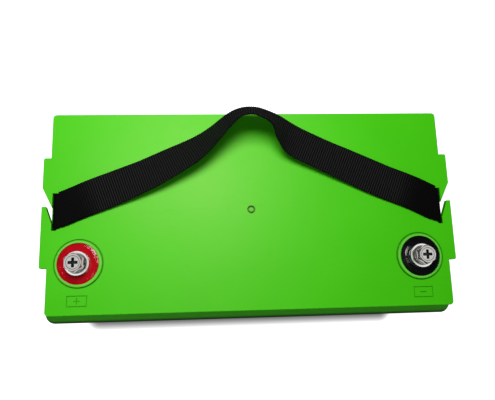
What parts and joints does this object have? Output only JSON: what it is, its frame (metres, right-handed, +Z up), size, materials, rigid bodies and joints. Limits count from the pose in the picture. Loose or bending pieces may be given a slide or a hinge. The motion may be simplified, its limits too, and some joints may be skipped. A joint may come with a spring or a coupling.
{
  "type": "battery pack",
  "caption": "Rectangular rechargeable battery pack in a green moulded case with a flared lid, screw terminals and a webbing carrying strap lying back over the lid.",
  "frame": {"origin": "centre of the bounding box's bottom face: the middle of the case's base, on the surface it stands on", "axes": "+X along the case's length, from the positive terminal's end to the negative terminal's end; +Z up; -Y towards the front, the long side where the terminals are"},
  "size_m": [0.33, 0.173, 0.2514],
  "materials": {
    "case_green": "satin",
    "seal_grey": "matte",
    "tinned_brass": "satin",
    "sealant_red": "gloss",
    "sealant_black": "gloss",
    "plated_steel": "satin",
    "strap_webbing": "matte",
    "stitch_thread": "matte",
    "cross_bar_steel": "satin",
    "foam_black": "matte",
    "cell_wrap": "satin",
    "cell_aluminium": "satin",
    "insulator_sheet": "satin",
    "band_steel": "satin",
    "copper": "satin",
    "tray_black": "matte",
    "board_green": "satin",
    "standoff_brass": "satin",
    "transistor_black": "matte",
    "heatsink_aluminium": "satin",
    "connector_white": "satin",
    "lead_red": "satin",
    "lead_black": "satin",
    "sense_wire": "satin"
  },
  "bodies": {
    "case": {"container": "case_green", "lid": "case_green", "lid_seal": "seal_grey", "positive_insert": "tinned_brass", "negative_insert": "tinned_brass", "positive_sealant": "sealant_red", "negative_sealant": "sealant_black", "positive_inner_bolt": "plated_steel", "negative_inner_bolt": "plated_steel", "busbar_nuts": "plated_steel", "board_screws": "plated_steel", "strap_left_tail": "strap_webbing", "strap_right_tail": "strap_webbing", "left_stitching": "stitch_thread", "right_stitching": "stitch_thread", "left_cross_bar": "cross_bar_steel", "right_cross_bar": "cross_bar_steel", "left_foam_block": "foam_black", "right_foam_block": "foam_black", "base_pad": "foam_black", "cell_1": "cell_wrap", "cell_2": "cell_wrap", "cell_3": "cell_wrap", "cell_4": "cell_wrap", "cell_terminals": "cell_aluminium", "cell_vents": "cell_aluminium", "cell_insulators": "insulator_sheet", "stack_end_plates": "insulator_sheet", "stack_bands": "band_steel", "cell_busbars": "copper", "positive_cell_lug": "copper", "positive_terminal_lug": "copper", "negative_cell_lug": "copper", "negative_terminal_lug": "copper", "current_shunts": "copper", "board_tray": "tray_black", "protection_board": "board_green", "board_standoffs": "standoff_brass", "lead_blocks": "standoff_brass", "power_transistors": "transistor_black", "heatsink": "heatsink_aluminium", "sense_connector": "connector_white", "positive_lead": "lead_red", "battery_negative_lead": "lead_black", "load_negative_lead": "lead_black", "sense_wires": "sense_wire", "temperature_probe": "sense_wire"},
    "strap": {"strap_span": "strap_webbing"},
    "positive_washers": {"positive_flat_washer": "plated_steel", "positive_spring_washer": "plated_steel"},
    "positive_bolt": {"positive_bolt": "plated_steel"},
    "negative_washers": {"negative_flat_washer": "plated_steel", "negative_spring_washer": "plated_steel"},
    "negative_bolt": {"negative_bolt": "plated_steel"}
  },
  "joints": [
    {"name": "strap_swing", "type": "hinge", "parent": "case", "child": "strap", "pos_m": [0, 0, 0.2163], "axis": [1, 0, 0], "range_deg": [0, 75]},
    {"name": "positive_washer_lift", "type": "slide", "parent": "case", "child": "positive_washers", "axis": [0, 0, 1], "range_m": [0, 0.01]},
    {"name": "positive_bolt_turn", "type": "hinge", "parent": "positive_washers", "child": "positive_bolt", "pos_m": [-0.1352, -0.0409, 0.22], "axis": [0, 0, 1], "range_deg": [0, 2880]},
    {"name": "negative_washer_lift", "type": "slide", "parent": "case", "child": "negative_washers", "axis": [0, 0, 1], "range_m": [0, 0.01]},
    {"name": "negative_bolt_turn", "type": "hinge", "parent": "negative_washers", "child": "negative_bolt", "pos_m": [0.1352, -0.0409, 0.22], "axis": [0, 0, 1], "range_deg": [0, 2880]}
  ],
  "couplings": [
    {"joint": "positive_washer_lift", "follows": "positive_bolt_turn", "m_per_rad": 0.00019894},
    {"joint": "negative_washer_lift", "follows": "negative_bolt_turn", "m_per_rad": 0.00019894}
  ]
}
